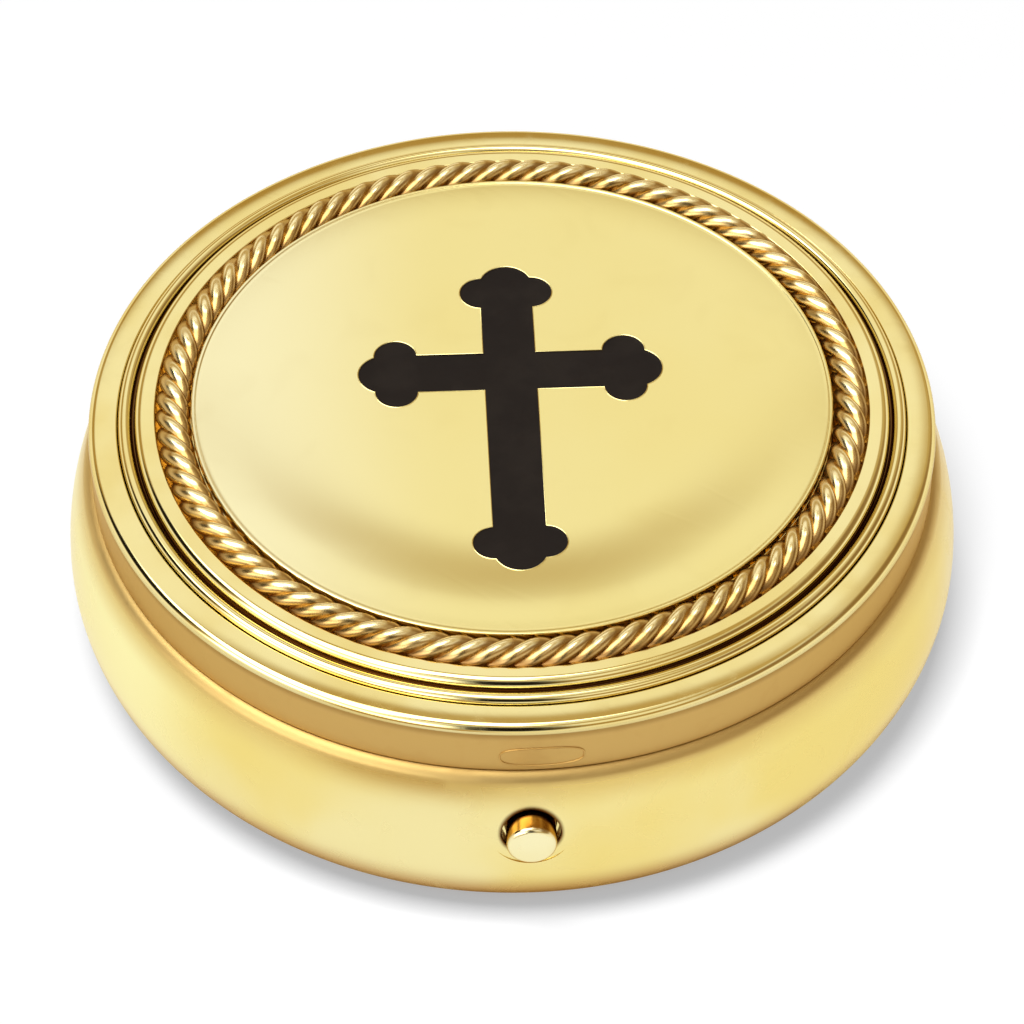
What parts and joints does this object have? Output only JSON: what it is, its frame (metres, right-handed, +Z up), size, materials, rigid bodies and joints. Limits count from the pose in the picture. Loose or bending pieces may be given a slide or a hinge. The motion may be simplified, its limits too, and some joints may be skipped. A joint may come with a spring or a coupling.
{
  "type": "pyx",
  "caption": "Round gilt brass pyx with a hinged lid, a push-button catch, a rope border and a black budded cross.",
  "frame": {"origin": "centre of the flat underside", "axes": "+Z up through the lid, the push button faces -Y, the hinge is on +Y"},
  "size_m": [0.054, 0.0554, 0.0193],
  "materials": {
    "polished_gilt": "polished",
    "satin_gilt": "satin",
    "black_enamel": "satin",
    "spring_steel": "gilt spring strip"
  },
  "bodies": {
    "base": {"bowl": "polished_gilt", "neck_ring": "polished_gilt", "hinge_base_leaf": "polished_gilt", "hinge_pin": "polished_gilt", "button_bush": "polished_gilt", "spring_lug_left": "polished_gilt", "spring_lug_right": "polished_gilt", "catch_spring": "spring_steel"},
    "lid": {"lid_shell": "polished_gilt", "lid_plate": "satin_gilt", "cross_inlay": "black_enamel", "rope_border": "polished_gilt", "hinge_lid_leaf": "polished_gilt", "lid_keeper": "polished_gilt"},
    "catch": {"push_button": "polished_gilt", "catch_latch": "spring_steel", "rivet_washer": "spring_steel"}
  },
  "joints": [
    {"name": "lid_hinge", "type": "hinge", "parent": "base", "child": "lid", "pos_m": [0, 0.0264, 0.01405], "axis": [-1, 0, 0], "range_deg": [0, 105]},
    {"name": "button_press", "type": "slide", "parent": "base", "child": "catch", "axis": [0, 1, 0], "range_m": [0, 0.0009], "stiffness_N_per_m": 1500, "deforming": ["catch_spring"]}
  ]
}
